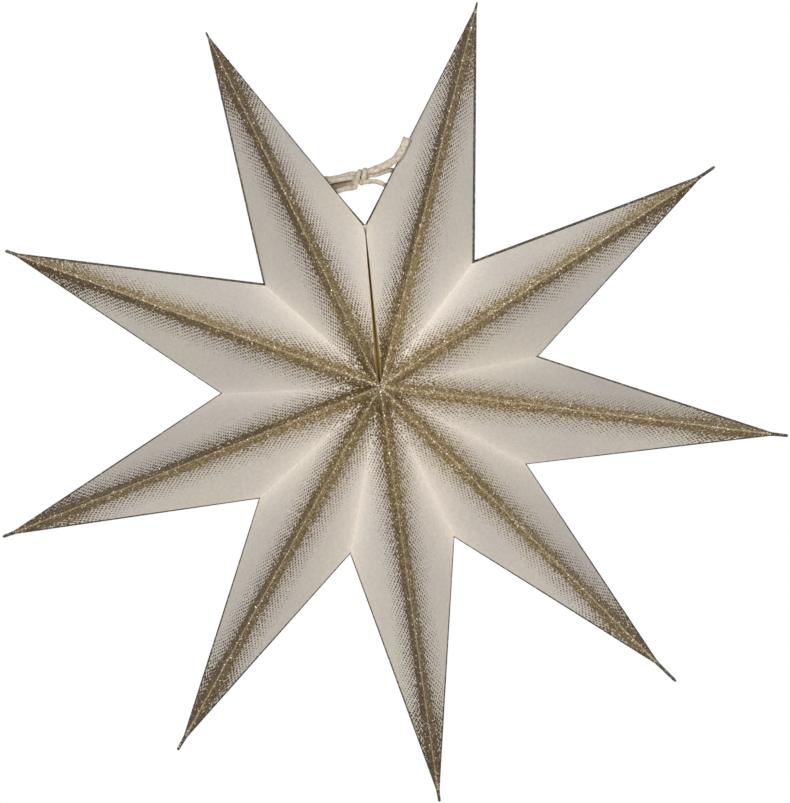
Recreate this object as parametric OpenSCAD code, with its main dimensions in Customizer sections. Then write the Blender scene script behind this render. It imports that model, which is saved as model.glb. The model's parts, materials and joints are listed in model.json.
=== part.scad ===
// Hanging paper star: nine folded paper pockets glued side by side into a ring. A gold
// glitter print covers the ridges, the ends and the side creases, and a cotton cord ties
// the two end pockets together above the open seam.
// The star's front looks to -Y and up is +Z. The origin is the knot of the tie.
// Sizes are in millimetres and angles in degrees.

/* [Star] */
// Distance from the middle of the star to the end of its longest points
tip_r = 300; // [250:1:380]
// Distance from the middle of the star to the glued notches between the points
notch_r = 119; // [100:1:132]
// Distance from the middle of the star to the two notches at the open seam
seam_r = 126; // [105:1:140]
// Depth from the middle plane of the star to its crown, the same in front and behind
half_depth = 80; // [55:1:105]
// Width of the open seam at its notch
seam_gap = 2.5; // [1:0.1:5]

/* [Paper] */
// Thickness of the paper
paper_t = 0.35; // [0.2:0.05:0.8]
// Width of the glue flaps folded in along the valleys
flap_w = 12; // [6:1:18]
// Distance from the star's axis at which the glue flaps stop
flap_stop = 8; // [5:1:20]
// Thickness of the glue between two flaps
glue_t = 0.05; // [0.02:0.01:0.2]
// Width of the nib where the end of a point is pressed shut
nib_w = 1.6; // [1:0.1:2.6]

/* [Glitter] */
// Height of the glitter above the paper
glitter_t = 0.2; // [0.1:0.05:0.5]
// Width on the paper of the glitter field at each side of a ridge
field_w = 16; // [8:1:28]
// Width on the paper of the glitter line along a side crease
rim_w = 1.4; // [0.8:0.1:3]

/* [Tie] */
// Thickness of the cotton cord
cord_d = 3.8; // [2.5:0.1:4.2]
// Room round the cord in its punched holes, on the diameter
hole_clear = 1; // [0.4:0.1:1.6]
// Distance of the lower hole from the seam notch, along the side crease
hole_low = 33; // [31:1:35]
// Distance of the upper hole from the seam notch, along the side crease
hole_high = 45; // [43:1:47]
// Distance of the holes in from the side crease, on the back of the paper
hole_in = 7; // [6:0.5:8]

/* [Hidden] */

paper_colour = "#cdc6b9";
glitter_colour = "#7f6c42";
cord_colour = "#d2cabb";

// The points are numbered clockwise, seen from the front, from the one right of the seam.
count = 9;
step = 360 / count;
// Direction of the open seam, anticlockwise from +X
seam_at = 95.9;
// The star was glued by hand. These lists give how far each point and each valley is
// turned from its even place, how much further out each glued notch lies, how far
// each end falls short of the longest, and the length of each pressed nib.
point_turn = [0.5, -1.6, -1.9, -0.4, 2.1, 4.3, 4.8, 3.3, 0.1];
valley_turn = [-0.6, -2.5, -2.1, 0.7, 2.8, 4.6, 4, 1.3];
notch_more = [1, -1, -1, -1, 1, 0, 0, 1];
tip_less = [0, 2.4, 1, 0, 0, 0, 2, 1, 0];
nib_l = [2, 12, 9, 17, 5, 8, 6, 6, 1];
// A nib runs back this far into the hollow end of its point, and narrows to this share.
nib_root = 8;
nib_taper = 0.6;
// The hollow end is thinner than the nib for this length, and the film stops where it is wider.
nib_thin = 1;
film_stop = 4;

// Place of the seam's notch beside the knot, which sets the middle of the star
notch_from_knot = [5, 0, -33];
star_middle = notch_from_knot - out_at(seam_r, seam_at);

hole_d = cord_d + hole_clear;
// The holes are cut this far out of the paper and this far into it, clear of both faces.
hole_reach = 4;

// The cord runs from its loose end in front of point 1 through the knot. Its loops lace
// through the holes of point 1 and of point 9, and a slack bow lies behind point 9.
tail_route = [[36, -4.8, 30.5], [34.5, -4.8, 28], [32, -4.6, 24.5], [29, -4.3, 20.2],
              [25.5, -4, 16.5], [21.5, -3.6, 13.2], [17, -3.3, 10.8], [12, -3, 8.8],
              [6, -2, 6.5], [2, 0, 3]];
right_route = [[2, 1, 1], [7, 0.5, 3.2], [13, 0.5, 4.1], [18.5, 1.2, 5.6], [22.5, 3.4, 7.2],
               [25, 7, 8], [27.7, 8.6, 7.2], [30.2, 5.5, 5.4], [32.2, 2.3, 3.2], [32, 0.6, -1],
               [29.6, 0.6, -5], [26.8, 2.8, -6.4], [24.2, 6.2, -5.2], [21.2, 7.2, -4],
               [18, 5, -2.6], [13.5, 1.8, -1.4], [8, 0.8, -1], [3, 0.5, -2.4]];
left_route = [[-1, 0, 2], [-6, -0.4, 2.2], [-11, -0.2, 1.2], [-16.5, 0.8, 0.3], [-21, 3.6, 0.4],
              [-24, 6.9, 1.1], [-26.9, 7.3, 0.2], [-29.1, 3.9, -2], [-30.4, 1.2, -4.8],
              [-29, 0.2, -8.4], [-25.6, 0.8, -11.4], [-22.2, 3.8, -11.2], [-19.2, 7.2, -9.2],
              [-16.4, 6, -8], [-12.6, 2.6, -7.3], [-8, 0.6, -6.3], [-3, 0, -4.2]];
bow_route = [[1, 0.5, 5], [-4, 0.6, 6], [-9, 1.6, 5.2], [-14, 3.2, 5], [-19, 6, 5.6],
             [-24, 9.6, 5.8], [-28.4, 12.6, 4.6], [-31, 14.4, 1.2], [-30.4, 14.4, -3],
             [-26.4, 12.6, -5.4], [-21, 9, -4.8], [-15.4, 6, -3.6], [-10, 4.4, -2.8],
             [-4.6, 3.4, -1.6], [0, 2, 0]];
// The cord's turns in the knot fill a rounded lump between these two middles.
knot_low = [-1.5, 0, -3];
knot_high = [3, 0, 4];
knot_d = 2.55 * cord_d;

function unit(v) = v / norm(v);
// A point of the middle plane at distance r and direction a from the star's axis
function out_at(r, a) = [r * cos(a), 0, r * sin(a)];

function point_at(i) = seam_at - (i - 0.5) * step + point_turn[i - 1];
// Side k lies clockwise of point k. Sides 0 and count are the two sides of the seam.
seam_half = asin(seam_gap / 2 / seam_r);
function at_seam(k) = k == 0 || k == count;
function side_at(k) = seam_at - k * step
    + (k == 0 ? -seam_half : k == count ? seam_half : valley_turn[k - 1]);
function side_r(k) = at_seam(k) ? seam_r : notch_r + notch_more[k - 1];
function end_r(i) = tip_r - tip_less[i - 1];
function fold_r(i) = end_r(i) - nib_l[i - 1];

// The outward normal of a panel of point i, on its side k, in front (s -1) or behind (s 1)
function panel_normal(i, k, s) =
    let(crown = [0, s * half_depth, 0],
        n = unit(cross(out_at(fold_r(i), point_at(i)) - crown, out_at(side_r(k), side_at(k)) - crown)))
    n * s * sign(n[1]);
function pair_normal(i, s) = (panel_normal(i, i - 1, s) + panel_normal(i, i, s)) / 2;

// The corners of point i with its panels moved outwards by d:
// front crown, back crown, end fold, anticlockwise notch, clockwise notch
function corners(i, d) =
    let(n = pair_normal(i, 1), crown_y = half_depth + d / n[1])
    [[0, -crown_y, 0], [0, crown_y, 0],
     out_at(fold_r(i) + d / (n * out_at(1, point_at(i))), point_at(i)),
     moved_notch(i, i - 1, d), moved_notch(i, i, d)];
function moved_notch(i, k, d) =
    out_at(side_r(k) + d / (panel_normal(i, k, 1) * out_at(1, side_at(k))), side_at(k));

// Four panels of paper, with their outer corners first and their inner corners after
module panels(i) {
    polyhedron(concat(corners(i, 0), corners(i, -paper_t)),
        [[0, 3, 2], [0, 2, 4], [1, 2, 3], [1, 4, 2],
         [5, 7, 8], [5, 9, 7], [6, 8, 7], [6, 7, 9],
         [3, 0, 5, 8], [1, 3, 8, 6], [0, 4, 9, 5], [4, 1, 6, 9]]);
}

// The bent glue flap along side k, beside the plane through the star's axis. It lies on the
// clockwise side of that plane for the point's first side, and on the other for its last.
module flap(i, k) {
    r = side_r(k);
    slope = half_depth / r;
    drop = flap_w * norm([1, slope]);
    edge_y = (r - flap_stop) * slope;
    rotate([0, -side_at(k), 0]) translate([0, 0, k < i ? -paper_t - glue_t / 2 : glue_t / 2])
        linear_extrude(paper_t)
            polygon([[flap_stop, -edge_y], [r, 0], [flap_stop, edge_y],
                     [flap_stop, edge_y - drop], [r - drop / slope, 0], [flap_stop, drop - edge_y]]);
}

// The pressed nib at the end of point i, from this far back inside it, grown by g
module nib(i, back, g) {
    from = fold_r(i) - back;
    half = nib_w / 2 + g;
    rotate([0, -point_at(i), 0]) rotate([90, 0, 0])
        linear_extrude(2 * (paper_t + g), center = true)
            polygon([[from, -half], [end_r(i) + g, -half * nib_taper],
                     [end_r(i) + g, half * nib_taper], [from, half]]);
}

// The two punched holes for the cord in the back panel on side k of point i
module cord_holes(i, k) {
    normal = panel_normal(i, k, 1);
    notch = out_at(side_r(k), side_at(k));
    along = unit(out_at(fold_r(i), point_at(i)) - notch);
    inward = unit([0, half_depth, 0] - notch - along * (([0, half_depth, 0] - notch) * along));
    for (reach = [hole_low, hole_high])
        translate(notch + along * reach + inward * hole_in)
            rotate([0, acos(normal[2]), atan2(normal[1], normal[0])])
                cylinder(d = hole_d, h = 2 * hole_reach, center = true, $fn = 32);
}

module point(i) {
    color(paper_colour) translate(star_middle) difference() {
        union() {
            panels(i);
            flap(i, i - 1);
            flap(i, i);
            nib(i, nib_root, 0);
        }
        if (i == 1) cord_holes(i, 0);
        if (i == count) cord_holes(i, count);
    }
}

// Outline of the glitter on one panel with the corners c (crown, end fold, notch): the crown,
// a point short of the end on the ridge and one on the side crease, the notch, then the open
// edge: beside the notch, where the line meets the field, and beside the crown
outline_n = 7;
meet = 5;
function film_outline(c, field, rim, ridge_stop, crease_stop) =
    [c[0], blend(c, ridge_stop, 0), blend(c, 0, crease_stop), c[2],
     blend(c, rim, 1 - rim), blend(c, rim, field), blend(c, 1 - field, field)];
function blend(c, crown_part, notch_part) =
    c[0] * crown_part + c[2] * notch_part + c[1] * (1 - crown_part - notch_part);
// Distance of a corner from the line through two others
function reach_of(corner, a, b) =
    let(line = unit(b - a), arm = corner - a)
    norm(arm - line * (arm * line));
function turned(face, over) = over ? [for (j = [len(face) - 1:-1:0]) face[j]] : face;

// The film of glitter over all four panels: the outlines on the paper, then the raised ones.
// Each panel's faces fan out from where its line meets its field. The walls leave out the
// ridge and the side crease, where the next panel's film carries on.
module film(i) {
    outlines = [for (d = [0, glitter_t], crown = [0, 1], side = [3, 4])
        let(c = corners(i, d), panel = [c[crown], c[2], c[side]])
        each film_outline(panel, field_w / reach_of(c[side], c[crown], c[2]),
            rim_w / reach_of(c[crown], c[2], c[side]),
            film_stop / norm(c[2] - c[crown]), film_stop / norm(c[2] - c[side]))];
    raised = len(outlines) / 2;
    lift = [raised, raised, raised];
    faces = [for (panel = [0:3])
        let(a = outline_n * panel, over = panel == 0 || panel == 3,
            fans = [for (j = [0, 1, 2, 3, 6]) [a + meet, a + j, a + (j + 1) % outline_n]],
            walls = [for (j = [1, 3, 4, 5, 6]) let(m = a + j, n = a + (j + 1) % outline_n)
                [n, m, m + raised, n + raised]])
        each concat([for (f = fans) turned(f, !over)], [for (f = fans) turned(f + lift, over)],
            [for (f = walls) turned(f, !over)])];
    polyhedron(outlines, faces);
}

module glitter(i) {
    color(glitter_colour) translate(star_middle) {
        film(i);
        difference() {
            nib(i, nib_thin, glitter_t);
            nib(i, nib_root, 0);
        }
    }
}

function heading(p, i) = unit(p[min(i + 1, len(p) - 1)] - p[max(i - 1, 0)]);
// Directions across the cord, each carried on from the one before
function carried(p, i, across) = i == len(p) ? [] :
    let(h = heading(p, i), a = unit(across - h * (across * h)))
    concat([a], carried(p, i + 1, a));

module tube(p, d, sides = 8) {
    across = carried(p, 0, cross(heading(p, 0), [0, 1, 0]));
    rings = [for (i = [0:len(p) - 1], j = [0:sides - 1])
        p[i] + d / 2 * (across[i] * cos(j * 360 / sides)
            + cross(heading(p, i), across[i]) * sin(j * 360 / sides))];
    walls = [for (i = [0:len(p) - 2], j = [0:sides - 1])
        let(a = i * sides + j, b = i * sides + (j + 1) % sides)
        each [[a, a + sides, b + sides], [a, b + sides, b]]];
    last = (len(p) - 1) * sides;
    polyhedron(rings, concat(walls, [[for (j = [0:sides - 1]) j]],
        [[for (j = [sides - 1:-1:0]) last + j]]));
}

module tie_cord() {
    color(cord_colour) {
        for (route = [tail_route, right_route, left_route, bow_route]) tube(route, cord_d);
        hull() {
            translate(knot_low) sphere(d = knot_d, $fn = 16);
            translate(knot_high) sphere(d = knot_d, $fn = 16);
        }
    }
}

for (i = [1:count]) {
    point(i);
    glitter(i);
}
tie_cord();
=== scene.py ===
# %% [markdown]
# # A folded paper star with a glitter print
#
# The star hangs from a knotted cotton cord. It is nine paper pockets glued side by side,
# with a raised print of gold glitter along their ridges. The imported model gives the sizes,
# and this lesson makes the looks around it: the cord, the paper, the print and the finishes.
# Everything is in metres, with +Z up and the front of the star towards -Y.

import json
from math import asin, cos, degrees, pi, radians, sin

import bmesh
import bpy
import numpy as np
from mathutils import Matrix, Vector

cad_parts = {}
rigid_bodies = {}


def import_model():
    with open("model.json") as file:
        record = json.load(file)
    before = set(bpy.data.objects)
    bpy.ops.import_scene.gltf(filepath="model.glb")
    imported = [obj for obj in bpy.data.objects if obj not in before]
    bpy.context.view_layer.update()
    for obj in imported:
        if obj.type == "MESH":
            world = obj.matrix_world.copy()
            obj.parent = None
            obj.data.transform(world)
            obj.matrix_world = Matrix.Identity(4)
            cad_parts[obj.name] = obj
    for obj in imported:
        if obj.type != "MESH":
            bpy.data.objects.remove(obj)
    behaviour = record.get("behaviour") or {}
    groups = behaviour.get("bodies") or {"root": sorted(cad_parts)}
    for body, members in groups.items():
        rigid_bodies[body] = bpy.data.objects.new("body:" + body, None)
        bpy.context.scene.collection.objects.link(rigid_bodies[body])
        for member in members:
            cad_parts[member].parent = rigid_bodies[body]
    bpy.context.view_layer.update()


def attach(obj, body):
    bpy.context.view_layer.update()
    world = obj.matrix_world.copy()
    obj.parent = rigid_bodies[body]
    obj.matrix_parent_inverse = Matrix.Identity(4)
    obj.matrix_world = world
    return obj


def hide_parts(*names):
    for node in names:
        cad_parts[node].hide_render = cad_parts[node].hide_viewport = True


bpy.ops.object.select_all(action="SELECT")
bpy.ops.object.delete()
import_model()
scene = bpy.context.scene

# %% [markdown]
# ## The places of the star
#
# The folds need the same corners as the model has: the two crowns on the axis, the end of
# each point, and the notches between the points. The lists below repeat the model's own
# small unevenness, which comes from gluing the pockets by hand. Points are numbered
# clockwise from the open seam at the top, and side k lies clockwise of point k.

# %% Corners of the pockets
COUNT = 9
MM = 0.001
SEAM_AT = 95.9
SEAM_R = 126 * MM
HALF_DEPTH = 80 * MM
POINT_TURN = [0.5, -1.6, -1.9, -0.4, 2.1, 4.3, 4.8, 3.3, 0.1]
SEAM_GAP = 1.25 * MM
SEAM_HALF = degrees(asin(1.25 / 126))
SIDE_TURN = [-SEAM_HALF, -0.6, -2.5, -2.1, 0.7, 2.8, 4.6, 4, 1.3, SEAM_HALF]
SIDE_R = [r * MM for r in (126, 120, 118, 118, 118, 120, 119, 119, 120, 126)]
END_R = [r * MM for r in (300, 297.6, 299, 300, 300, 300, 298, 299, 300)]
NIB = [r * MM for r in (2, 12, 9, 17, 5, 8, 6, 6, 1)]


def ray(turn):
    """The direction in the star's plane at this angle, anticlockwise from +X"""
    return Vector((cos(radians(turn)), 0, sin(radians(turn))))


MIDDLE = Vector((5 * MM, 0, -33 * MM)) - ray(SEAM_AT) * SEAM_R
FRONT = MIDDLE + Vector((0, -HALF_DEPTH, 0))
BACK = MIDDLE + Vector((0, HALF_DEPTH, 0))


def point_at(i):
    return SEAM_AT - (i - 0.5) * 360 / COUNT + POINT_TURN[i - 1]


def notch(k):
    return MIDDLE + ray(SEAM_AT - k * 360 / COUNT + SIDE_TURN[k]) * SIDE_R[k]


def fold_end(i):
    return MIDDLE + ray(point_at(i)) * (END_R[i - 1] - NIB[i - 1])


print("middle of the star", [round(x, 5) for x in MIDDLE])

# %% [markdown]
# ## The camera
#
# The photograph was taken from a little over a metre, almost straight on and a little from
# below, so the camera stands there and looks slightly up. A camera's own matrix is its
# right, up and back directions beside its place.

# %% Camera
bpy.ops.object.camera_add(location=(0.04438, -1.32225, -0.23685))
camera = bpy.context.object
camera.name = "photo_camera"
camera.data.lens = 36 * 1800 / 803
camera.data.clip_start = 0.05
right, up, back = (Vector(v) for v in ((0.999917, 0.012915, 0), (0.000707, -0.054772, 0.998499),
                                       (0.012896, -0.998416, -0.054777)))
camera.rotation_euler = Vector.rotation_difference(Vector((0, 0, 1)), back).to_euler()
turned_up = camera.rotation_euler.to_matrix() @ Vector((0, 1, 0))
camera.rotation_euler.rotate_axis("Z", Vector.angle(turned_up, up)
                                  * (1 if turned_up.cross(up).dot(back) > 0 else -1))
scene.camera = camera
print("camera looks along", [round(x, 3) for x in -back], "lens", round(camera.data.lens, 1))

# %% [markdown]
# ## Working in edit mode from code
#
# Blender's edit operators act on what is selected. With no mouse, the selection is made by
# a question asked of each vertex, edge or face, such as where it lies.

# %% Selecting by place
def start_clean(shape=None):
    """Object mode with nothing selected, or with one object selected and active"""
    if bpy.context.object and bpy.context.object.mode != "OBJECT":
        bpy.ops.object.mode_set(mode="OBJECT")
    bpy.ops.object.select_all(action="DESELECT")
    if shape:
        shape.select_set(True)
        bpy.context.view_layer.objects.active = shape


def pick(kind, wanted):
    """In edit mode, selects the verts, edges or faces for which wanted(one) holds"""
    bpy.ops.mesh.select_mode(type={"verts": "VERT", "edges": "EDGE", "faces": "FACE"}[kind])
    bpy.ops.mesh.select_all(action="DESELECT")
    mesh = bmesh.from_edit_mesh(bpy.context.object.data)
    for one in [one for one in getattr(mesh, kind) if wanted(one)]:
        one.select_set(True)
    mesh.select_flush_mode()
    bmesh.update_edit_mesh(bpy.context.object.data)


def middle_of(one):
    return sum((v.co for v in one.verts), Vector()) / len(one.verts)


def points_of(shape):
    co = np.empty(len(shape.data.vertices) * 3)
    shape.data.vertices.foreach_get("co", co)
    return co.reshape(-1, 3)


def move_points(shape, co):
    shape.data.vertices.foreach_set("co", np.asarray(co, np.float32).ravel())
    shape.data.update()


def apply_modifier(shape, kind, **settings):
    start_clean(shape)
    modifier = shape.modifiers.new(kind.lower(), kind)
    for key, value in settings.items():
        setattr(modifier, key, value)
    bpy.ops.object.modifier_apply(modifier=modifier.name)


# %% [markdown]
# ## The cotton cord
#
# One soft cord laces the two end pockets together. It could be simulated, but a knot is
# easier to lay from listed points: a smooth curve runs from the loose end through the knot, round
# behind the left pocket in a slack bow, through the two holes on the right, twice round the
# knot, and through the two holes on the left. The curve gets a round bevel, which becomes a
# mesh, and then the cord is pressed flat where the photograph shows it flat.

# %% Route of the cord, in millimetres from the knot
tail = [(36.2, -5.6, 30.2), (34.6, -5.6, 26.2), (31.9, -5.4, 20.4), (28, -5, 15.2),
        (23, -4.4, 11.6), (17, -3.6, 8.9), (11.4, -2.8, 7), (6, -1.6, 5.8), (2.5, -0.6, 4.6),
        (-1, 0.2, 4.6)]
bow = [(-4, 0.9, 4.8), (-9, 2, 4), (-14, 3.4, 2.8), (-19, 6.2, 2.4), (-24, 9.8, 2.8),
       (-28.4, 12.8, 2.8), (-31, 14.4, 0.4), (-30.4, 14.4, -3.2), (-26.4, 12.8, -4.2),
       (-21, 10.4, -3.5), (-15.4, 7.8, -2.7), (-10, 5.8, -1.9), (-4.6, 4, -1.4), (-1, 2.6, -0.4),
       (2.5, 1.6, 0.8)]
right_lace = [(7, 0.6, 3.3), (13, 0.6, 4.3), (18.5, 1.2, 6.2), (22.5, 3.4, 7.9), (25, 7, 8.4),
              (27.7, 8.6, 7.2), (30.2, 5.5, 5.4), (32.2, 2.3, 3.2), (32, 0.6, -1),
              (29.6, 0.6, -5), (26.8, 2.8, -6.2), (24.2, 6.2, -4.8), (21.2, 7.2, -3.2),
              (18, 5, -1.9), (13.5, 2, -0.8), (8.8, 1.6, -0.7)]
wraps = [(6.6, 3.6, -0.6), (5.9, 5.2, 1.8), (5.5, 4.2, 5.2), (5.1, 0.6, 7.3), (4.9, -3.4, 6.4),
         (4.7, -4.9, 3.6), (4.1, -3.4, 0.8), (3.1, 0.2, -1.2), (2.3, 3.8, -1.4), (1.9, 5.2, 1.4),
         (1.6, 3.8, 4.8), (1.3, 0.2, 6.2), (0.9, -3.6, 4.8), (-0.4, -5.3, 1.2), (-1.3, -5, -2.8),
         (-2.2, -3.2, -5.8), (-4.8, -1.2, -6)]
left_lace = [(-8, 0.8, -6), (-12.6, 2.6, -6.8), (-16.4, 6, -7.8), (-19.2, 7.2, -9.4),
             (-22.2, 3.8, -11.2), (-25.6, 0.8, -11.4), (-29, 0.2, -8.4), (-30.4, 1.2, -4.8),
             (-29.1, 3.9, -2), (-26.9, 7.3, 0.2), (-24, 6.9, 1.1), (-21, 3.6, 0.2),
             (-16.5, 0.8, 0.2), (-11, -0.3, 0.9), (-6, -0.9, 1.6), (-2.6, -1.8, 0.8),
             (0.8, -2.6, -1.4), (3.6, -2.4, -2), (6.6, -1, -1.3), (8.6, 0.4, -0.9)]
route = np.array(tail + bow + right_lace + wraps + left_lace, float) * MM
CORD_D = 3.8 * MM
print("points on the cord's route", len(route))


# %% A smooth line through the route
def smooth_line(places, step):
    """Points a step apart on the rounded line through the places"""
    ends = np.vstack([2 * places[0] - places[1], places, 2 * places[-1] - places[-2]])
    t = np.linspace(0, 1, 24, endpoint=False)[:, None]
    runs = [0.5 * (2 * b + (c - a) * t + (2 * a - 5 * b + 4 * c - d) * t ** 2
                   + (3 * b - a - 3 * c + d) * t ** 3)
            for a, b, c, d in zip(ends, ends[1:], ends[2:], ends[3:])]
    line = np.vstack(runs + [places[-1:]])
    far = np.concatenate([[0], np.cumsum(np.linalg.norm(np.diff(line, axis=0), axis=1))])
    even = np.linspace(0, far[-1], int(far[-1] / step) + 1)
    return np.stack([np.interp(even, far, line[:, k]) for k in range(3)], 1), far[::24] / MM


centre, reached = smooth_line(route, 0.9 * MM)

# %% Sweep the cord
SIDES = 16
start_clean()
bpy.ops.curve.primitive_nurbs_path_add()
cord = bpy.context.object
cord.name = "tie_cord_cotton"
cord.data.splines.clear()
spline = cord.data.splines.new("POLY")
spline.points.add(len(centre) - 1)
spline.points.foreach_set("co", np.c_[centre, np.ones(len(centre))].ravel())
cord.data.twist_mode = "MINIMUM"
cord.data.bevel_depth = CORD_D / 2
cord.data.bevel_resolution = SIDES // 2 - 2
bpy.ops.object.convert(target="MESH")
rings = points_of(cord).reshape(len(centre), SIDES, 3)
print("rings", rings.shape, "thickness in mm",
      round(float(np.linalg.norm(rings[5, 0] - rings[5, SIDES // 2])) / MM, 2))

# %% [markdown]
# The loose end is soft and half untwisted, so it lies flat and wide beside the paper. The
# strand behind the left pocket is slack and swells a little, and the one pulled tight at the
# lower right is thinner. All of it is done by moving each ring of the mesh: wider one way and
# thinner the other. The cut end is closed with one face, and its edge is rounded.

# %% Shape each stretch of the cord
LOOSE_END = 46
TIGHT_RUN = 30
far = np.linspace(0, reached[-1], len(centre))
flat = np.clip((LOOSE_END - far) / 12, 0, 1)
slack_from, slack_to = reached[len(tail) + 7], reached[len(tail) + 13]
slack = np.clip(np.minimum(far - slack_from, slack_to - far) / 6, 0, 1)
tight_from = reached[len(tail + bow) + 11]
tight = np.clip(np.minimum(far - tight_from, tight_from + TIGHT_RUN - far) / 8, 0, 1)
sight = np.array((0.25, -0.93, 0.25))
sight /= np.linalg.norm(sight)
for n in range(len(centre)):
    out = rings[n] - centre[n]
    wide = 1 + 0.5 * flat[n] + 0.45 * slack[n]
    swell = 1 - 0.1 * tight[n] + 0.035 * sin(far[n] * 0.6) + 0.02 * sin(far[n] * 1.9)
    pressed = np.outer((out @ sight) * (wide - 1 + 0.2 * flat[n]), sight)
    rings[n] = centre[n] + (out * wide - pressed) * swell
move_points(cord, rings.reshape(-1, 3))
start_clean(cord)
bpy.ops.object.mode_set(mode="EDIT")
for end in (Vector(centre[0]), Vector(centre[-1])):
    pick("edges", lambda e: e.is_boundary and (middle_of(e) - end).length < 4 * MM)
    bpy.ops.mesh.edge_face_add()
    bpy.ops.mesh.inset(thickness=0.5 * MM, depth=0.25 * MM)
bpy.ops.mesh.select_all(action="SELECT")
bpy.ops.mesh.normals_make_consistent(inside=False)
bpy.ops.object.mode_set(mode="OBJECT")
bpy.ops.object.shade_smooth()
print("cord faces", len(cord.data.polygons))


# %% Lengthwise and round coordinates for the cord's weave
def lay_out(shape, values):
    """Writes a UV map from one pair of values for each vertex"""
    layers = shape.data.uv_layers
    layer = layers.get("UVMap") or layers.new(name="UVMap")
    corner = np.empty(len(shape.data.loops), int)
    shape.data.loops.foreach_get("vertex_index", corner)
    layer.data.foreach_set("uv", np.asarray(values, np.float32)[corner].ravel())


def write_numbers(shape, name, values, part="POINT"):
    """Writes one number for each point or face, which a finish can read"""
    layer = shape.data.attributes.new(name, "FLOAT", part)
    layer.data.foreach_set("value", np.asarray(values, np.float32))


along = np.repeat(far * MM, SIDES)
# Painted shade: the slack stretch of the bow, deep behind the other strands, is coloured darker
bow_shade_painted = np.clip(np.minimum(far - slack_from + 6, slack_to - 2 - far) / 6, 0, 1)
round_it = np.tile(np.abs(np.arange(SIDES) - SIDES / 2) / (SIDES / 2), len(centre))
extra = len(cord.data.vertices) - len(along)
lay_out(cord, np.c_[np.r_[along, np.zeros(extra)], np.r_[round_it, np.zeros(extra)]])
write_numbers(cord, "bow_shade_painted", np.r_[np.repeat(bow_shade_painted, SIDES), np.zeros(extra)])

# %% [markdown]
# ## A folded pocket
#
# Each point of the star is one folded sheet: two panels in front that meet in a ridge, two
# behind, and glue flaps that turn in along the valleys. A four-sided cone without its base
# already has the four panels, so it is added at the point's length and its base corners are
# slid out to the notches. The folds are bevelled first, and then the base edge is extruded
# inwards in two strips, which are the flaps. The mouth at the far end is drawn out into the
# pressed nib later.

# %% Marks that find the parts of a pocket again
PANEL, CREST, CREASE, INSIDE, TIP, RIM_MARK = range(6)
MOUTH = 3.7 * MM
FOLD = 0.6 * MM
FLAP_HALF = 0.93
FLAP_KEEP = 0.82
CUTS = 15
STRIP_AREA = 0.001
GRID_AREA = 0.0003


def near(v, places):
    return any((v.co - p).length < 1e-5 for p in places)


def slide(start, to):
    """Selects the vertex nearest to start and moves it to its own place"""
    mesh = bmesh.from_edit_mesh(bpy.context.object.data)
    nearest = min(mesh.verts, key=lambda v: (v.co - start).length)
    index, value = nearest.index, to - nearest.co
    pick("verts", lambda v: v.index == index)
    bpy.ops.transform.translate(value=value)


def mark(number):
    """Gives the selected faces this mark, kept in the material number"""
    mesh = bmesh.from_edit_mesh(bpy.context.object.data)
    for face in mesh.faces:
        if face.select:
            face.material_index = number


# %% Fold a pocket's shell
def folded_shell(i):
    way, across = ray(point_at(i)), ray(point_at(i) - 90)
    end, anti, clock = fold_end(i), notch(i - 1), notch(i)
    length = (end - MIDDLE).length
    reach = length - MOUTH
    start_clean()
    bpy.ops.mesh.primitive_cone_add(
        vertices=4, radius1=HALF_DEPTH, radius2=MM, depth=reach, end_fill_type="NOTHING",
        location=MIDDLE + way * reach / 2, rotation=(0, radians(90 - point_at(i)), 0))
    bpy.ops.object.transform_apply(location=True, rotation=True, scale=True)
    shell = bpy.context.object
    for _ in range(6):
        shell.data.materials.append(None)
    bpy.ops.object.mode_set(mode="EDIT")
    corner = {"front": FRONT, "back": BACK, "anti": anti, "clock": clock}
    mouth = {name: end + (p - end) * MOUTH / (end - p).dot(way) for name, p in corner.items()}
    side = {"front": Vector((0, -1, 0)), "back": Vector((0, 1, 0)),
            "anti": -across, "clock": across}
    for name in corner:
        slide(MIDDLE + side[name] * HALF_DEPTH, corner[name])
        slide(MIDDLE + way * reach + side[name] * MM, mouth[name])
    base, tips = list(corner.values()), list(mouth.values())
    pick("faces", lambda f: True)
    mark(PANEL)
    pick("edges", lambda e: all(near(v, base + tips) for v in e.verts)
         and any(near(v, tips) for v in e.verts) and not all(near(v, tips) for v in e.verts))
    bpy.ops.mesh.bevel(offset=FOLD, segments=2, affect="EDGES")
    for where, number in ((lambda m: abs((m - MIDDLE).dot(across)) < FOLD, CREST),
                          (lambda m: abs(m.y - MIDDLE.y) < FOLD, CREASE)):
        pick("faces", lambda f: f.material_index == PANEL and f.calc_area() < STRIP_AREA
             and where(middle_of(f)))
        mark(number)
    sides = [ray(SEAM_AT - k * 360 / COUNT + SIDE_TURN[k] - 90) for k in (i - 1, i)]
    for shrink in (FLAP_HALF, FLAP_KEEP / FLAP_HALF):
        pick("edges", lambda e: e.is_boundary and (middle_of(e) - MIDDLE).length < 0.14)
        bpy.ops.mesh.extrude_region_move()
        bpy.ops.transform.resize(value=(shrink,) * 3, center_override=MIDDLE)
    pick("faces", lambda f: min(abs((middle_of(f) - MIDDLE).dot(s)) for s in sides) < MM)
    mark(INSIDE)
    bpy.ops.mesh.select_all(action="SELECT")
    bpy.ops.mesh.normals_make_consistent(inside=False)
    return shell


# %% [markdown]
# ## How the paper sits
#
# Flat triangles would look like card. On the real star each panel gives a little towards
# the hollow, no two alike, and the two free edges at the open seam stand apart. One function
# says where any spot of a pocket's skin sits, so the paper and the print follow each other.

# %% Settle a point's skin
SAG = np.random.default_rng(41).uniform(0.3, 1.5, (COUNT, 4)) * MM


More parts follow.
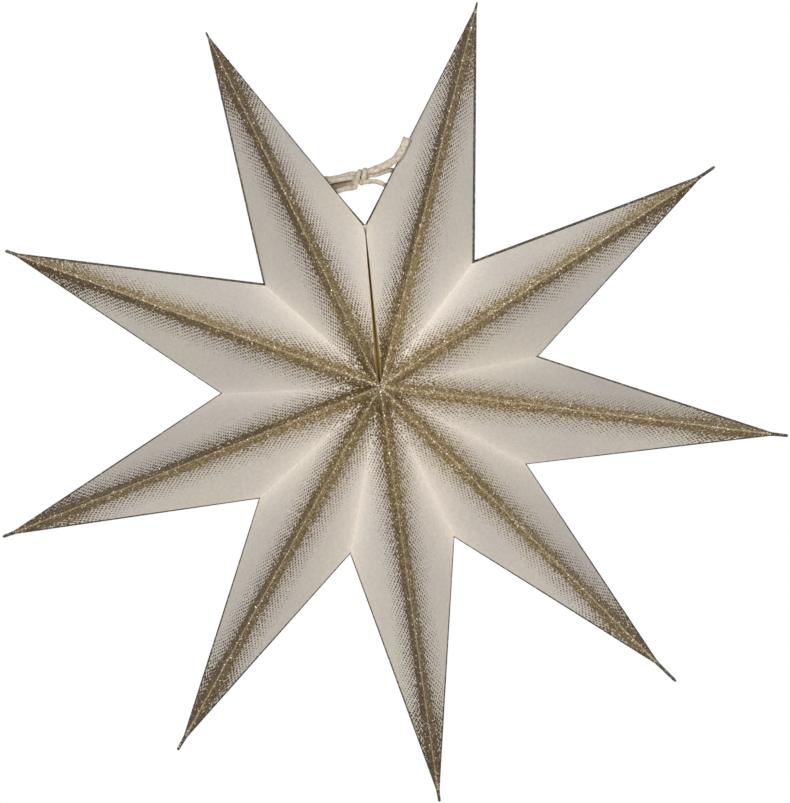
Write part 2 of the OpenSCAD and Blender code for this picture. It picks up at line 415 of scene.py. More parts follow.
def panel_frames(i):
    """For each panel of point i: its crown, fold end and notch, and its unit normal"""
    found = []
    for k in (i - 1, i):
        for crown in (FRONT, BACK):
            c, e, n = (np.array(p) for p in (crown, fold_end(i), notch(k)))
            normal = np.cross(e - c, n - c)
            normal *= np.sign(normal[1] * (c[1] - MIDDLE.y)) / np.linalg.norm(normal)
            found.append((c, e, n, normal))
    return found


def shares(co, c, e, n):
    """How much of the crown, the fold end and the notch each point is made of"""
    u, v, w = e - c, n - c, co - c
    uu, uv, vv = u @ u, u @ v, v @ v
    wu, wv = w @ u, w @ v
    det = uu * vv - uv * uv
    to_end, to_notch = (vv * wu - uv * wv) / det, (uu * wv - uv * wu) / det
    return 1 - to_end - to_notch, to_end, to_notch


# The open seam: sizes in mm, and places and runs as shares of the seam's length
SLIT, SLIT_RUN, SLIT_START = 2.4, 0.4, 0.07
PINCH, PINCH_AT, PINCH_RUN = 0.75, 0.92, 0.12
FLARE, FLARE_AT, FLARE_RUN = 0.9, 0.95, 0.05
BACK_SHUT_AT, BACK_SHUT_RUN = 0.45, 0.15


def gape(out):
    """How far each front edge of the open seam stands aside, by its share of the seam"""
    slit = SLIT * np.exp(-(out / SLIT_RUN) ** 2)
    slit *= 1 - np.exp(-(np.clip(out, 0, 1) / SLIT_START) ** 2)
    pinch = PINCH * np.exp(-((out - PINCH_AT) / PINCH_RUN) ** 2)
    return (slit - pinch + FLARE * np.clip((out - FLARE_AT) / FLARE_RUN, 0, 1)) * MM


def flap_depth(rel, out):
    """0 on the fold at a valley and 1 at the inner edge of its flap"""
    return (1 - out - np.abs(rel[:, 1]) / HALF_DEPTH) / (1 - FLAP_KEEP)


def settled(co, i):
    """The points co of point i's skin, moved from the flat panels to where the paper sits"""
    moved = co.copy()
    for number, (c, e, n, normal) in enumerate(panel_frames(i)):
        a, b, g = shares(co, c, e, n)
        on = (np.abs((co - c) @ normal) < 0.4 * MM) & (np.minimum(np.minimum(a, b), g) > -0.002)
        give = 27 * a * b * g * (0.6 + 0.8 * b) * SAG[i - 1, number]
        moved[on] -= normal * np.clip(give, 0, None)[on, None]
    if i in (1, COUNT):
        aside = np.array(ray(SEAM_AT - 90)) * (1 if i == 1 else -1)
        rel = co - np.array(MIDDLE)
        out, off = rel @ np.array(ray(SEAM_AT)) / SEAM_R, rel @ aside
        gap = np.clip(out, 0, 1) * SEAM_GAP
        shut = -(gap - 0.03 * MM)
        reach = np.clip(0.34 * out * SEAM_R, 2 * MM, 30 * MM)
        edge_share = np.clip(1 - (off - gap) / reach, 0, 1) ** 2
        behind = (rel[:, 1] > 0.2 * MM) & (out > BACK_SHUT_AT)
        apart = np.where(behind, shut * np.clip((out - BACK_SHUT_AT) / BACK_SHUT_RUN, 0, 1),
                         gape(out))
        inside = np.clip(flap_depth(rel, out), 0, 1)
        closed = np.clip(inside * (1 - FLAP_KEEP) / (1 - FLAP_HALF), 0, 1)
        closed *= (off < gap + 0.5 * MM) & (out > 0)
        moved += aside * (edge_share * apart * (1 - closed) + shut * closed)[:, None]
    return moved


# %% [markdown]
# ## The paper
#
# The four panels get a fine grid so that they can curve, the mouth is drawn out into the
# nib and closed, and Solidify gives the sheet its thickness towards the hollow. The cord's
# holes are then cut in the backs of the two end pockets.

# %% Finish a shell into a pocket
def nib_and_grid(shell, i):
    way, end = ray(point_at(i)), fold_end(i)
    pick("faces", lambda f: f.calc_area() > GRID_AREA)
    bpy.ops.mesh.subdivide(number_cuts=CUTS)
    pick("edges", lambda e: e.is_boundary and (middle_of(e) - end).length < 12 * MM)
    side = ray(point_at(i) - 90)
    place = end - way * MOUTH
    broad = 0.4 + 0.6 * min(1, NIB[i - 1] / (6 * MM))
    for step, wide, thick in ((0, 1.25, 0.9), (MOUTH, 1.05, 0.5), (0.35 * NIB[i - 1], 0.95, 0.4),
                              (0.5 * NIB[i - 1], 0.95, 0.35), (0.15 * NIB[i - 1], 0.5, 0.25)):
        place = place + way * step
        if step:
            bpy.ops.mesh.extrude_region_move(TRANSFORM_OT_translate={"value": way * step})
        mesh = bmesh.from_edit_mesh(shell.data)
        ring = [v for v in mesh.verts if v.select]
        now_wide = max(abs((v.co - place).dot(side)) for v in ring)
        now_thick = max(abs(v.co.y - place.y) for v in ring)
        for v in ring:
            shift = side * (v.co - place).dot(side) * (wide * broad * MM / now_wide - 1)
            v.co += shift + Vector((0, (v.co.y - place.y) * (thick * MM / now_thick - 1), 0))
        bmesh.update_edit_mesh(shell.data)
    bpy.ops.mesh.edge_face_add()
    tip_from = (end - MIDDLE).length - MOUTH
    pick("faces", lambda f: min((v.co - MIDDLE).dot(way) for v in f.verts) > tip_from - 1e-4)
    mark(TIP)
    bpy.ops.object.mode_set(mode="OBJECT")
    move_points(shell, settled(points_of(shell), i))


def copy_of(shape, name):
    start_clean(shape)
    bpy.ops.object.duplicate()
    copy = bpy.context.object
    copy.name = copy.data.name = name
    return copy


shells = {}
for i in range(1, COUNT + 1):
    shells[i] = folded_shell(i)
    nib_and_grid(shells[i], i)
print("faces of one shell", len(shells[1].data.polygons))

# %% [markdown]
# Where two sheets meet in a valley they light each other, so the paper is painted a little
# lighter there, and each side of a point is painted its own brightness for the light that falls
# on it. Both are painted light, written on the paper as one number, which its finish reads. The
# free flaps of the open seam are painted olive-brown, as painted shade of the slit's inside.

# %% Write the paper's painted light and painted shade
# Painted light: how bright each side of each point is painted, anticlockwise side first
SIDE_LIGHT = {1: (1.06, 1.05), 2: (1.16, 0.96), 3: (0.97, 0.97), 4: (0.98, 1.0), 5: (1.0, 1.02),
         6: (0.97, 0.97), 7: (0.96, 0.93), 8: (0.9, 1.1), 9: (0.92, 1.14)}


def painted_paper_light(co, i):
    """Painted light on the paper: lighter near the valleys, and one table value for each side of
    the point
    """
    paper_light = np.full(len(co), 0.8)
    for number, (c, e, n, normal) in enumerate(panel_frames(i)):
        a, b, g = shares(co, c, e, n)
        on = (np.abs((co - c) @ normal) < 3 * MM) & (np.minimum(np.minimum(a, b), g) > -0.02)
        # painted light: lighter near the valley, where the two sheets light each other
        valley_glow = 0.79 + 0.21 * np.exp(-np.clip(b, 0, 1) / 0.1) - 0.03 * np.clip(b, 0, 1)
        paper_light[on] = valley_glow[on] * SIDE_LIGHT[i][0 if number < 2 else 1]
    return paper_light


def painted_slit_shade(co, i):
    """1 on the free flaps at the open seam, and less on the paper beside the slit: painted shade
    of the slit's inside
    """
    rel = co - np.array(MIDDLE)
    out = rel @ np.array(ray(SEAM_AT)) / SEAM_R
    off = np.abs(rel @ np.array(ray(SEAM_AT - 90)))
    inside = flap_depth(rel, out)
    flap = np.clip(inside / 0.12, 0, 1) * (off < 4 * MM)
    # a fainter painted shadow on the paper beside the slit, stronger towards the middle
    edge = np.exp(-np.clip(off - 3 * MM, 0, 1) / (2.5 * MM)) * np.clip(1 - out, 0, 1) * 0.35
    return (flap + edge * (inside < 0.02)) * (out > 0) * (i in (1, COUNT))


# %% Give the paper its thickness
PAPER_T = 0.35 * MM
papers = {}
for i, shell in shells.items():
    papers[i] = copy_of(shell, f"point_{i}_paper")
    write_numbers(papers[i], "paper_light", painted_paper_light(points_of(papers[i]), i))
    write_numbers(papers[i], "slit_shade", painted_slit_shade(points_of(papers[i]), i))
    apply_modifier(papers[i], "SOLIDIFY", thickness=PAPER_T, offset=-1, use_even_offset=True,
                   thickness_clamp=1.0)
print("faces of one paper pocket", len(papers[1].data.polygons))


# %% Cut the cord's holes
HOLE_R = 2.4 * MM
HOLES_AT = (33 * MM, 45 * MM)
HOLE_IN = 7 * MM


def punch(paper, i, k):
    """Cuts both holes through the back panel of point i, beside its crease at notch k"""
    end, corner = fold_end(i), notch(k)
    along_crease = (end - corner).normalized()
    inward = BACK - corner
    inward = (inward - along_crease * inward.dot(along_crease)).normalized()
    normal = along_crease.cross(inward).normalized()
    for reach in HOLES_AT:
        start_clean()
        bpy.ops.mesh.primitive_cylinder_add(
            vertices=32, radius=HOLE_R, depth=8 * MM,
            location=corner + along_crease * reach + inward * HOLE_IN,
            rotation=normal.to_track_quat("Z", "Y").to_euler())
        cutter = bpy.context.object
        apply_modifier(paper, "BOOLEAN", object=cutter, operation="DIFFERENCE", solver="EXACT")
        start_clean(cutter)
        bpy.ops.object.delete()


punch(papers[1], 1, 0)
punch(papers[COUNT], COUNT, COUNT)
print("faces of the first pocket, with its holes", len(papers[1].data.polygons))

# %% [markdown]
# ## The glitter film
#
# The print is thick glue with glitter on it. Where it is dense it makes one film: a band
# along each ridge, a line along each side crease, and the whole end of the point. The film
# is cut out of a copy of the shell with bisecting planes, so it lies exactly on the paper,
# and Solidify raises it.

# %% Cut the film out of the shell
BAND = 7 * MM
GLITTER_T = 0.2 * MM
# For each point, anticlockwise side then clockwise: how far in mm the darker rim reaches in from
# the crease, at the notch and at the fold end. The print is there, and its darker grey is painted
# shade.
RIM = {1: ((0.7, 0.9), (3, 2.6)), 2: ((3.2, 1.8), (0.8, 0.8)), 3: ((1.9, 1.5), (0.7, 0.7)),
       4: ((1.1, 1.0), (0.9, 0.9)), 5: ((0.9, 0.9), (1.1, 1.1)), 6: ((0.9, 0.9), (1.1, 1.1)),
       7: ((0.9, 0.9), (1.2, 1.2)), 8: ((0.8, 0.8), (2.6, 1.5)), 9: ((2.2, 2.0), (0.8, 1.4))}


def film_of(i):
    film = copy_of(shells[i], f"glitter_{i}_print")
    way, across = ray(point_at(i)), ray(point_at(i) - 90)
    bpy.ops.object.mode_set(mode="EDIT")
    pick("faces", lambda f: f.material_index == INSIDE)
    bpy.ops.mesh.delete(type="FACE")
    for number, (c, e, n, normal) in enumerate(panel_frames(i)):
        hand = 0 if number < 2 else 1
        c, e, n, normal = (Vector(v) for v in (c, e, n, normal))
        near_notch, near_end = (w * MM for w in RIM[i][hand])
        ridge = (e - c).normalized()
        aside = ((n - c) - ridge * (n - c).dot(ridge)).normalized()
        crease = (e - n).normalized()
        inward = ((c - n) - crease * (c - n).dot(crease)).normalized()
        low, high = n + inward * near_notch, e + inward * near_end
        rim_way = (high - low).cross(normal).normalized()
        rim_way *= 1 if rim_way.dot(inward) > 0 else -1

        def here(face):
            m = middle_of(face) - MIDDLE
            return (face.material_index == PANEL and (m.y < 0) == (c.y < MIDDLE.y)
                    and (m.dot(across) > 0) == (hand == 1))

        for place, way_out in ((c + aside * BAND, aside), (low, rim_way)):
            pick("faces", here)
            bpy.ops.mesh.bisect(plane_co=place, plane_no=way_out, threshold=1e-7)
        pick("faces", lambda f: here(f) and (middle_of(f) - c).dot(aside) > BAND
             and (middle_of(f) - low).dot(rim_way) > 0)
        bpy.ops.mesh.delete(type="FACE")
        pick("faces", lambda f: here(f) and (middle_of(f) - low).dot(rim_way) < 0)
        mark(RIM_MARK)
    bpy.ops.object.mode_set(mode="OBJECT")
    apply_modifier(film, "SOLIDIFY", thickness=GLITTER_T, offset=1, use_even_offset=True,
                   thickness_clamp=2.0)
    return film


films = {i: film_of(i) for i in shells}
print("faces of one film", len(films[1].data.polygons))

# %% [markdown]
# ## The fading dots
#
# Past the band the print breaks up into round dots on a lattice at 45 degrees to the ridge,
# which shrink until the paper is bare. One dot is modelled: a low six-sided cone, so that
# each of its slopes catches the light in its own way. It is then copied to every place of
# the lattice in one mesh, a little uneven in size and place, as a print of glue is.

# %% One dot
start_clean()
bpy.ops.mesh.primitive_cone_add(vertices=6, radius1=1, radius2=0, depth=1)
dot = bpy.context.object
dot.name = "one_dot"
bpy.ops.object.mode_set(mode="EDIT")
pick("verts", lambda v: v.co.z > 0.4)
bpy.ops.transform.translate(value=(0.12, 0.08, 0))
bpy.ops.object.mode_set(mode="OBJECT")
dot_points = points_of(dot) + np.array((0, 0, 0.5))
dot_faces = [list(f.vertices) for f in dot.data.polygons]
print("faces of one dot", len(dot_faces))


# %% Copy a small shape to many places
def strewn(name, points, faces, middles, frames, sizes):
    """One mesh of copies: each at its middle, in its own frame, with its own three sizes"""
    co = np.einsum("nij,nvj->nvi", frames, points[None] * sizes[:, None, :]) + middles[:, None, :]
    count, each = len(middles), len(points)
    lengths = [len(f) for f in faces]
    corner = np.concatenate(faces)[None] + (np.arange(count) * each)[:, None]
    mesh = bpy.data.meshes.new(name)
    mesh.vertices.add(count * each)
    mesh.vertices.foreach_set("co", co.astype(np.float32).ravel())
    mesh.loops.add(corner.size)
    mesh.loops.foreach_set("vertex_index", corner.ravel().astype(np.int32))
    starts = np.concatenate([[0], np.cumsum(lengths * count)[:-1]])
    mesh.polygons.add(len(lengths) * count)
    mesh.polygons.foreach_set("loop_start", starts.astype(np.int32))
    mesh.update(calc_edges=True)
    shape = bpy.data.objects.new(name, mesh)
    scene.collection.objects.link(shape)
    return shape


def spun_frames(normal, count, random, tilt):
    """Frames with their third axis near the normal, turned at random about it"""
    up = normal + random.normal(0, tilt, (count, 3))
    up /= np.linalg.norm(up, axis=1)[:, None]
    turn = random.uniform(0, 2 * pi, count)
    first = np.cross(up, (0.3, 0.2, 0.9))
    first /= np.linalg.norm(first, axis=1)[:, None]
    second = np.cross(up, first)
    x = first * np.cos(turn)[:, None] + second * np.sin(turn)[:, None]
    return np.stack([x, np.cross(up, x), up], 2)


def ridge_ways(c, e, n):
    """The unit ways along a panel's ridge and aside from it, and the ridge's length"""
    length = np.linalg.norm(e - c)
    ridge = (e - c) / length
    aside = (n - c) - ridge * ((n - c) @ ridge)
    return ridge, aside / np.linalg.norm(aside), length


# %% Lay the dots on every panel
PITCH = 4.03 * MM
ROW = 1.62 * MM
FADE = 28 * MM
DOT_R = 1.4
DOT_HIGH = 0.28 * MM
BESIDE, INNER = 130, 90


def dots_of(i):
    """The lattice of dots on point i, with the fine specks that lie beside the band"""
    random = np.random.default_rng(700 + i)
    middles, frames, sizes = [], [], []
    for number, (c, e, n, normal) in enumerate(panel_frames(i)):
        ridge, aside, length = ridge_ways(c, e, n)
        rows = np.arange(int((FADE - BAND) / ROW) + 4)
        t, s = np.meshgrid(BAND - 0.5 * MM + rows * ROW, np.arange(80) * PITCH, indexing="ij")
        s = (s + (rows[:, None] % 2) * PITCH / 2).ravel() + random.normal(0, 0.12 * MM, t.size)
        t = t.ravel() + random.normal(0, 0.09 * MM, t.size)
        s = np.r_[s, random.uniform(0, length, BESIDE), random.uniform(8 * MM, 110 * MM, INNER)]
        beside = BAND + np.abs(random.normal(0, 1.6 * MM, BESIDE))
        inner = random.uniform(0.9, 1, INNER) * BAND
        t = np.r_[t, beside, inner + random.exponential(9 * MM, INNER)]
        place = c + np.outer(s, ridge) + np.outer(t, aside)
        a, b, g = shares(place, c, e, n)
        shift = (s / length - 0.47) * 5.5 * MM
        shift -= 26 * MM * np.clip((s / length - 0.74) / 0.2, 0, 1) ** 1.5
        fade = np.clip((t + shift + random.normal(0, 0.8 * MM, t.size) - 8 * MM) / MM, -3, 30)
        radius = (DOT_R - 0.0545 * fade) * MM * random.normal(1, 0.08, t.size)
        radius[-(BESIDE + INNER):] *= random.uniform(0.35, 0.75, BESIDE + INNER)
        crease = np.linalg.norm(np.cross(e - n, place - n), axis=1) / np.linalg.norm(e - n)
        valley = np.linalg.norm(np.cross(c - n, place - n), axis=1) / np.linalg.norm(c - n)
        valley *= np.sign(b)
        free_edge = (i, number) in ((1, 0), (1, 1), (COUNT, 2), (COUNT, 3))
        clear = 0.8 if free_edge else -0.35
        missing = np.clip((fade - 14) / 8, 0, 1) ** 1.4
        keep = ((np.minimum(a, g) > 0) & (crease > radius * 0.6) & (valley > radius * clear)
                & (random.uniform(0, 1, t.size) > missing) & (radius > 0.2 * MM))
        place, radius = place[keep], radius[keep]
        middles.append(settled(place, i) - normal * 0.03 * MM)
        frames.append(spun_frames(normal, len(place), random, 0.05))
        sizes.append(np.c_[radius, radius, np.full(len(place), DOT_HIGH)])
    return strewn(f"dots_{i}", dot_points, dot_faces,
                  *(np.concatenate(v) for v in (middles, frames, sizes)))


dots = {i: dots_of(i) for i in shells}
print("dots in all", sum(len(d.data.vertices) for d in dots.values()) // len(dot_points))

# %% [markdown]
# ## The coarse flakes
#
# Among the fine grains lie a few large flakes that flash white or pale gold. Each is a thin
# six-sided plate, strewn at random over the band, thickest along the ridge.

# %% One flake
start_clean()
bpy.ops.mesh.primitive_cylinder_add(vertices=6, radius=1, depth=1)
flake = bpy.context.object
flake.name = "one_flake"
bpy.ops.object.mode_set(mode="EDIT")
pick("faces", lambda f: f.normal.z > 0.9)
bpy.ops.transform.resize(value=(0.85, 0.85, 1))
bpy.ops.object.mode_set(mode="OBJECT")
flake_points = points_of(flake)
flake_faces = [list(f.vertices) for f in flake.data.polygons]


# %% Strew the flakes
# Painted sheen for each point, anticlockwise side first: how much lighter its glitter is painted,
# which also sets how many flakes lie there
SHEEN_PAINTED = {1: (0.1, 0.6), 2: (1.05, 0.5), 3: (0.8, 0.75), 4: (0.5, 0.7), 5: (0.45, 0.2),
        6: (0.5, 0.15), 7: (0.6, 0), 8: (0.3, 1), 9: (0.05, 0.4)}
ON_CREST = 0.4
FLAKE_T = 0.07 * MM


def flakes_of(i):
    """The flakes on point i: more on its side with more painted sheen, towards the middle and on
    the crest
    """
    random = np.random.default_rng(900 + i)
    middles, frames, sizes = [], [], []
    for number, (c, e, n, normal) in enumerate(panel_frames(i)):
        ridge, aside, length = ridge_ways(c, e, n)
        count = int(30 + 100 * SHEEN_PAINTED[i][0 if number < 2 else 1])
        s = random.uniform(0.01, 0.99, count) ** 1.5 * length
        t = np.where(random.uniform(0, 1, count) < ON_CREST, random.uniform(0, MM, count),
                     random.exponential(5.5 * MM, count))
        place = c + np.outer(s, ridge) + np.outer(t, aside)
        a, b, g = shares(place, c, e, n)
        place = place[(np.minimum(b, g) > 0) & (a > 0) & (t < 24 * MM)]
        middles.append(settled(place, i) + normal * 0.3 * MM)
        frames.append(spun_frames(normal, len(place), random, 0.25))
        radius = random.uniform(0.3, 0.68, len(place)) * MM
        sizes.append(np.c_[radius, radius, np.full(len(place), FLAKE_T)])
    return strewn(f"flakes_{i}", flake_points, flake_faces,
                  *(np.concatenate(v) for v in (middles, frames, sizes)))


flakes = {i: flakes_of(i) for i in shells}
print("flakes in all", sum(len(f.data.vertices) for f in flakes.values()) // len(flake_points))

# %% [markdown]
# ## Joining the print
#
# Film, dots and flakes are one print, so they are joined into one piece for each point. The
# finish reads four numbers on the faces: glint is 1 on a coarse flake; crest is high on the
# very top of a ridge, which gets a painted highlight; rim is 1 along the edges and on the nib,
# where the print gets a darker grey of painted shade; and the fourth, the painted sheen, makes
# the glitter lighter on some sides, standing in for the light its flakes catch there.

# %% Join and number
def face_middles(shape):
    """The middle of each face, measured from the middle of the star"""
    middles = np.empty(len(shape.data.polygons) * 3)
    shape.data.polygons.foreach_get("center", middles)
    return middles.reshape(-1, 3) - np.array(MIDDLE)


for i, film in films.items():
    way, across = np.array(ray(point_at(i))), np.array(ray(point_at(i) - 90))
    length = (fold_end(i) - MIDDLE).length
    for shape, glint in ((film, 0), (dots[i], 0), (flakes[i], 1)):
        middles = face_middles(shape)
        marks = np.zeros(len(middles), int)
        shape.data.polygons.foreach_get("material_index", marks)
        share = middles @ way / length
        hand = np.clip(0.5 + (middles @ across) / (2 * MM), 0, 1)
        # painted highlight: the crest is painted lighter, most near the middle of the star
        crest = (marks == CREST) * np.clip(1.1 - 1.6 * share, 0, 0.97)
        # painted shade: the print along the creases, the rim bands and the nib gets a darker grey
        rim = (marks == CREASE) | (marks == TIP) | (marks == RIM_MARK)
        # painted sheen: the side's table value, more towards the middle, less at the very centre
        painted_sheen = (SHEEN_PAINTED[i][0] * (1 - hand) + SHEEN_PAINTED[i][1] * hand + 0.75 * (0.42 - share)
                - 0.35 * np.exp(-share / 0.08) + 0.25 * np.exp(-((share - 0.2) / 0.13) ** 2))
        for name, values in (("glint", np.full(len(marks), float(glint))), ("crest", crest),
                             ("rim", rim), ("painted_sheen", painted_sheen)):
            write_numbers(shape, name, values, "FACE")
        shape.data.polygons.foreach_set("material_index", np.zeros(len(marks), int))
    start_clean(film)
    for extra_part in (dots[i], flakes[i]):
        extra_part.select_set(True)
    bpy.ops.object.join()
for spare in (dot, flake, *shells.values()):
    start_clean(spare)
    bpy.ops.object.delete()
print("faces of one print", len(films[1].data.polygons))

# %% [markdown]
# ## Finishes
#
# Colours are written as a paint chart gives them and turned into light values. Each finish
# is procedural and reads the piece's own coordinates, so it stays put from every side.

# %% Colours and small node helpers
def colour(code):
    parts = [int(code[n:n + 2], 16) / 255 for n in (1, 3, 5)]
    return tuple(p / 12.92 if p <= 0.04045 else ((p + 0.055) / 1.055) ** 2.4 for p in parts) + (1,)


def adder(tree):
    """A function that adds a node to this tree, with its settings and what goes into it"""
    def add(kind, inputs=None, **settings):
        node = tree.nodes.new(kind)
        for key, value in settings.items():
            setattr(node, key, value)
        for key, value in (inputs or {}).items():
            if isinstance(value, bpy.types.NodeSocket):
                tree.links.new(value, node.inputs[key])
            else:
                node.inputs[key].default_value = value
        return node

    return add


def new_finish(name):
    finish = bpy.data.materials.new(name)
    finish.use_nodes = True
    add = adder(finish.node_tree)
    shader = finish.node_tree.nodes["Principled BSDF"]
    return finish, shader, add("ShaderNodeTexCoord").outputs, add, finish.node_tree.links


def ramp(add, fac, stops, constant=False):
    node = add("ShaderNodeValToRGB", {"Fac": fac})
    node.color_ramp.interpolation = "CONSTANT" if constant else "LINEAR"
    bar = node.color_ramp.elements
    while len(bar) < len(stops):
        bar.new(0.5)
    for one, (place, code) in zip(bar, stops):
        one.position, one.color = place, colour(code)
    return node.outputs["Color"]


def calc(add, operation, *values):
    return add("ShaderNodeMath", dict(enumerate(values)), operation=operation).outputs[0]


def turned(add, operation, *values):
    """The same for three numbers at once"""
    return add("ShaderNodeVectorMath", dict(enumerate(values)), operation=operation).outputs[0]


def scaled(add, vector, share):
    return add("ShaderNodeVectorMath", {0: vector, "Scale": share}, operation="SCALE").outputs[0]


def blend(add, factor, one, other, how="MIX"):
    return add("ShaderNodeMix", {"Factor": factor, "A": one, "B": other}, data_type="RGBA",
               blend_type=how).outputs["Result"]


def noise(add, vector, scale, detail):
    return add("ShaderNodeTexNoise", {"Vector": vector, "Scale": scale, "Detail": detail})


def written(add, name):
    """Reads a number that was written on the piece"""
    return add("ShaderNodeAttribute", attribute_name=name).outputs["Fac"]


# %% Paper
paper_finish, shader, where, add, links = new_finish("cream_paper")
cloud = noise(add, where["Object"], 14.0, 3.0)
fibre = noise(add, where["Object"], 420.0, 4.0)
fibre.inputs["Roughness"].default_value = 0.65
tone = ramp(add, cloud.outputs["Fac"], ((0.3, "#e5ded8"), (0.5, "#eae2d9"), (0.7, "#ede6d9")))
mottle = ramp(add, fibre.outputs["Fac"], ((0.35, "#f2f1ee"), (0.65, "#ffffff")))
mottled = blend(add, 1.0, tone, mottle, "MULTIPLY")
# painted light from the valleys and from each side's table value
paper_lit = scaled(add, mottled, written(add, "paper_light"))
# painted shade: olive-brown where the inside of the open seam lies in shadow
slit_shaded = blend(add, written(add, "slit_shade"), paper_lit, colour("#a08a4c"))
specks = add("ShaderNodeTexVoronoi", {"Vector": where["Object"], "Scale": 34.0})
speck = calc(add, "LESS_THAN", specks.outputs["Distance"], 0.016)
links.new(blend(add, speck, slit_shaded, colour("#8f8472")), shader.inputs["Base Color"])
bump = add("ShaderNodeBump", {"Height": fibre.outputs["Fac"], "Strength": 0.25,
                              "Distance": 0.00012})
links.new(bump.outputs["Normal"], shader.inputs["Normal"])
shader.inputs["Roughness"].default_value = 0.78
shader.inputs["Specular IOR Level"].default_value = 0.25

# %% [markdown]
# Each grain of glitter is one cell of a Voronoi texture. The cell's colour holds three random
# numbers: red picks the grain's shade from a row of steps, green does so on the crest and on
# the flakes, and all three together lean the grain's face, so that each catches the light in
# its own way.

# %% Glitter
glitter_finish, shader, where, add, links = new_finish("gold_glitter")
grain = add("ShaderNodeTexVoronoi", {"Vector": where["Object"], "Scale": 1150.0}).outputs["Color"]
picked = add("ShaderNodeSeparateColor", {"Color": grain}).outputs
dark = ramp(add, picked["Red"], ((0, "#3d2b13"), (0.3, "#4e3a1e"), (0.6, "#604a2b"),
                                 (0.88, "#7e6640"), (0.97, "#d2bf92")), constant=True)
light = ramp(add, picked["Red"], ((0, "#735c37"), (0.25, "#927c52"), (0.6, "#b09b71"),
                                  (0.87, "#cfbe95"), (0.96, "#f3ead0")), constant=True)
# painted shade on the print where the edge turns away from the light
painted_edge_shade = ramp(add, picked["Red"], ((0, "#3a352d"), (0.35, "#524c41"), (0.75, "#6f685b"),
                                 (0.95, "#b3ab9a")), constant=True)
bright = ramp(add, picked["Green"], ((0, "#d8cba6"), (0.4, "#f6f0dd"), (0.7, "#ffffff")),
              constant=True)
# painted highlight along the crest
crest_highlight = ramp(add, picked["Green"], ((0, "#cbb486"), (0.35, "#e6d4aa"), (0.7, "#fbf3da"),
                                     (0.88, "#ffffff")), constant=True)
# painted sheen between the darker and the lighter glitter
shade = blend(add, written(add, "painted_sheen"), dark, light)
shade = blend(add, written(add, "crest"), shade, crest_highlight)
shade = blend(add, written(add, "rim"), shade, painted_edge_shade)
shade = blend(add, written(add, "glint"), shade, bright)
links.new(shade, shader.inputs["Base Color"])
metal = add("ShaderNodeMapRange", {"Value": written(add, "glint"), "To Min": 0.5, "To Max": 0.9})
links.new(metal.outputs["Result"], shader.inputs["Metallic"])
leaning = scaled(add, turned(add, "SUBTRACT", grain, (0.5, 0.5, 0.5)), 0.5)
tipped = turned(add, "ADD", leaning, add("ShaderNodeNewGeometry").outputs["Normal"])
links.new(turned(add, "NORMALIZE", tipped), shader.inputs["Normal"])
shader.inputs["Roughness"].default_value = 0.42

# %% [markdown]
# Two waves that wind round the cord against each other make its plait, and a fine noise over
# them makes it cotton. The stretch of the bow that lies deep between the other strands is
# painted darker, as painted shade.

# %% Cotton
cotton_finish, shader, where, add, links = new_finish("cotton_cord")
axes = add("ShaderNodeSeparateXYZ", {"Vector": where["UV"]}).outputs
run = calc(add, "MULTIPLY", axes["X"], 1300.0)
turn = calc(add, "MULTIPLY", axes["Y"], 5.0)
waves = [calc(add, "SINE", calc(add, "MULTIPLY", calc(add, way, run, turn), pi))
         for way in ("ADD", "SUBTRACT")]
level = add("ShaderNodeMapRange", {"Value": calc(add, "MULTIPLY", *waves),
                                   "From Min": -1.0, "From Max": 1.0})
fuzz = noise(add, where["Object"], 1500.0, 3.0)
both = add("ShaderNodeMix", {"Factor": 0.7, "A": level.outputs["Result"],
                             "B": fuzz.outputs["Fac"]}).outputs["Result"]
cotton = ramp(add, both, ((0.25, "#b9ac97"), (0.5, "#d6cbb9"), (0.75, "#e6dccb")))
blotch = ramp(add, noise(add, where["Object"], 330.0, 2.0).outputs["Fac"],
              ((0.35, "#d9d4cc"), (0.6, "#ffffff")))
handled = blend(add, 1.0, cotton, blotch, "MULTIPLY")
# painted shade: a darker colour on the bow's stretch behind the other strands
links.new(blend(add, written(add, "bow_shade_painted"), handled, colour("#94826c")),
          shader.inputs["Base Color"])
bump = add("ShaderNodeBump", {"Height": both, "Strength": 0.5, "Distance": 0.0003})
links.new(bump.outputs["Normal"], shader.inputs["Normal"])
shader.inputs["Roughness"].default_value = 0.95
shader.inputs["Specular IOR Level"].default_value = 0.1
shader.inputs["Sheen Weight"].default_value = 0.25

# %% [markdown]
# ## Putting the pieces on the model
#
# Each piece takes one finish, rides on the model's one body, and stands for the plain solid
# whose place it fills.

# %% Ride, replace and finish
def dress(shape, finish, node, angle=30):
    shape.data.materials.clear()
    shape.data.materials.append(finish)
    start_clean(shape)
    if angle:
        bpy.ops.object.shade_smooth_by_angle(angle=radians(angle))
    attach(shape, "root")
    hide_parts(node)


for i in range(1, COUNT + 1):
    dress(papers[i], paper_finish, f"point_{i}", 24)
    dress(films[i], glitter_finish, f"glitter_{i}", 20)
dress(cord, cotton_finish, "tie_cord", 0)

# %% [markdown]
# ## Floor and light
#
# The star hangs over a pale floor, below the camera's view. The photograph's ground is plain
# white, so the world is white to the camera and to reflections, and dim for everything else.
# The light on the star is soft and comes from beside the camera: light from all round would
# darken the valleys, and on the real star the valleys glow, because the two sheets of paper
# that meet there light each other.

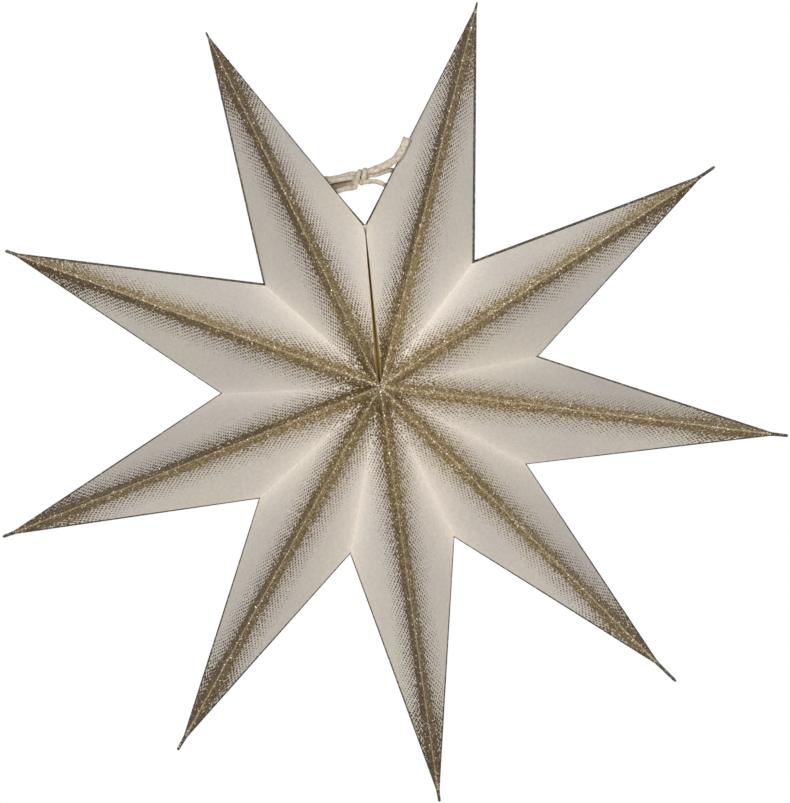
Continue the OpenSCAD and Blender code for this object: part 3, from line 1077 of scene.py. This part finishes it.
# %% Floor
start_clean()
bpy.ops.mesh.primitive_plane_add(size=1, location=(0, -3.2, -0.78))
floor = bpy.context.object
floor.name = "floor"
floor.scale = (10, 9.6, 1)
bpy.ops.object.transform_apply(location=True, rotation=True, scale=True)
floor_finish, shader, where, add, links = new_finish("pale_floor")
patches = noise(add, where["Object"], 3.0, 2.0)
links.new(ramp(add, patches.outputs["Fac"], ((0.3, "#f0efec"), (0.7, "#f4f3f1"))),
          shader.inputs["Base Color"])
shader.inputs["Roughness"].default_value = 0.9


def seen_as_ground(add):
    """1 where the camera sees this straight on, in a reflection or through glass"""
    rays = add("ShaderNodeLightPath").outputs
    seen = calc(add, "MAXIMUM", rays["Is Camera Ray"], rays["Is Glossy Ray"])
    return calc(add, "MAXIMUM", seen, rays["Is Transmission Ray"])


glow = add("ShaderNodeEmission", {"Color": colour("#fbfaf8"), "Strength": 1.0})
shown = add("ShaderNodeMixShader", {"Fac": calc(add, "MULTIPLY", seen_as_ground(add), 0.8),
                                    1: shader.outputs[0], 2: glow.outputs[0]})
floor_output = floor_finish.node_tree.nodes["Material Output"]
links.new(shown.outputs[0], floor_output.inputs["Surface"])
floor.data.materials.append(floor_finish)

# %% World
world = bpy.data.worlds.new("white_ground")
world.use_nodes = True
scene.world = world
background = world.node_tree.nodes["Background"]
background.inputs["Color"].default_value = (1, 1, 1, 1)
add = adder(world.node_tree)
strength = add("ShaderNodeMapRange", {"Value": seen_as_ground(add), "To Min": 0.07, "To Max": 1.0})
world.node_tree.links.new(strength.outputs["Result"], background.inputs["Strength"])


# %% Lamps
def soft_lamp(name, place, size, watts, aim):
    start_clean()
    bpy.ops.object.light_add(type="AREA", location=place)
    lamp = bpy.context.object
    lamp.name = name
    lamp.data.shape = "SQUARE"
    lamp.data.size = size
    lamp.data.energy = watts
    lamp.visible_camera = False
    lamp.rotation_euler = (Vector(place) - aim).to_track_quat("Z", "Y").to_euler()


for name, side, watts in (("left", -0.75, 19), ("right", 0.9, 16)):
    soft_lamp(f"front_lamp_{name}", (side, -1.75, 0.2), 0.8, watts, MIDDLE)
    soft_lamp(f"back_lamp_{name}", (side, 1.75, 0.2), 0.8, watts, MIDDLE)

scene.view_settings.view_transform = "Standard"
